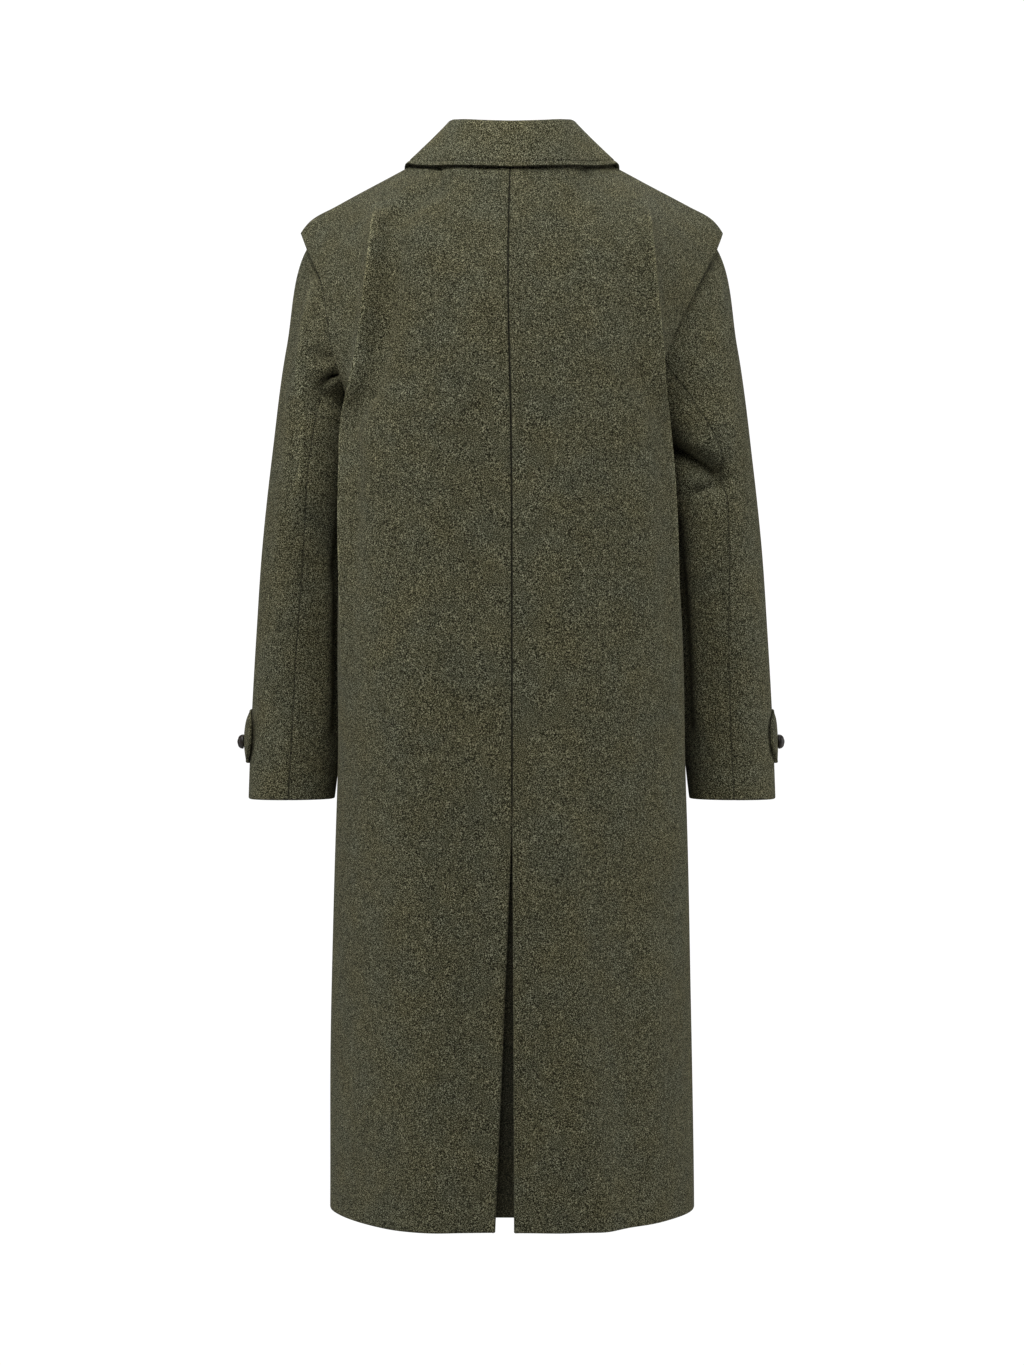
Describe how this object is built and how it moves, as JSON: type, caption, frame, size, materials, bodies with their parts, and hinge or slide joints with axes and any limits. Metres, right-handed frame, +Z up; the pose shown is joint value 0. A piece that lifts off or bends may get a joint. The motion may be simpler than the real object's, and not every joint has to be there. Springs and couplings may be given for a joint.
{
  "type": "long coat",
  "caption": "Long wool overcoat held in its worn shape, with a turned-down collar, seamed sleeves, buttoned cuff tabs and an inverted centre-back pleat that opens towards the hem.",
  "frame": {"origin": "on the centre line of the coat, between front and back, level with the collar's free edge on the shoulders, where the coat hangs on its wearer or on a hanger", "axes": "+Z up from the hem to the collar, -Y to the buttoned front, +Y to the back, +X to the wearer's left"},
  "size_m": [0.6081, 0.3123, 1.1935],
  "materials": {
    "loden": "fulled wool with a fine mottled weave, matt",
    "loden_inside": "fulled wool, matt, in shade",
    "button_leather": "polished plaited leather"
  },
  "bodies": {
    "root": {"back_left": "loden", "back_right": "loden", "front_left": "loden", "front_right": "loden", "sleeve_left_upper": "loden", "sleeve_left_under": "loden", "sleeve_right_upper": "loden", "sleeve_right_under": "loden", "cuff_tab_left": "loden", "cuff_tab_right": "loden", "cuff_button_left": "button_leather", "cuff_button_right": "button_leather", "pleat_underlay": "loden_inside", "collar_fall": "loden", "collar_stand": "loden_inside", "front_button_1": "button_leather", "front_button_2": "button_leather", "front_button_3": "button_leather", "front_button_4": "button_leather", "front_button_5": "button_leather"}
  },
  "joints": []
}
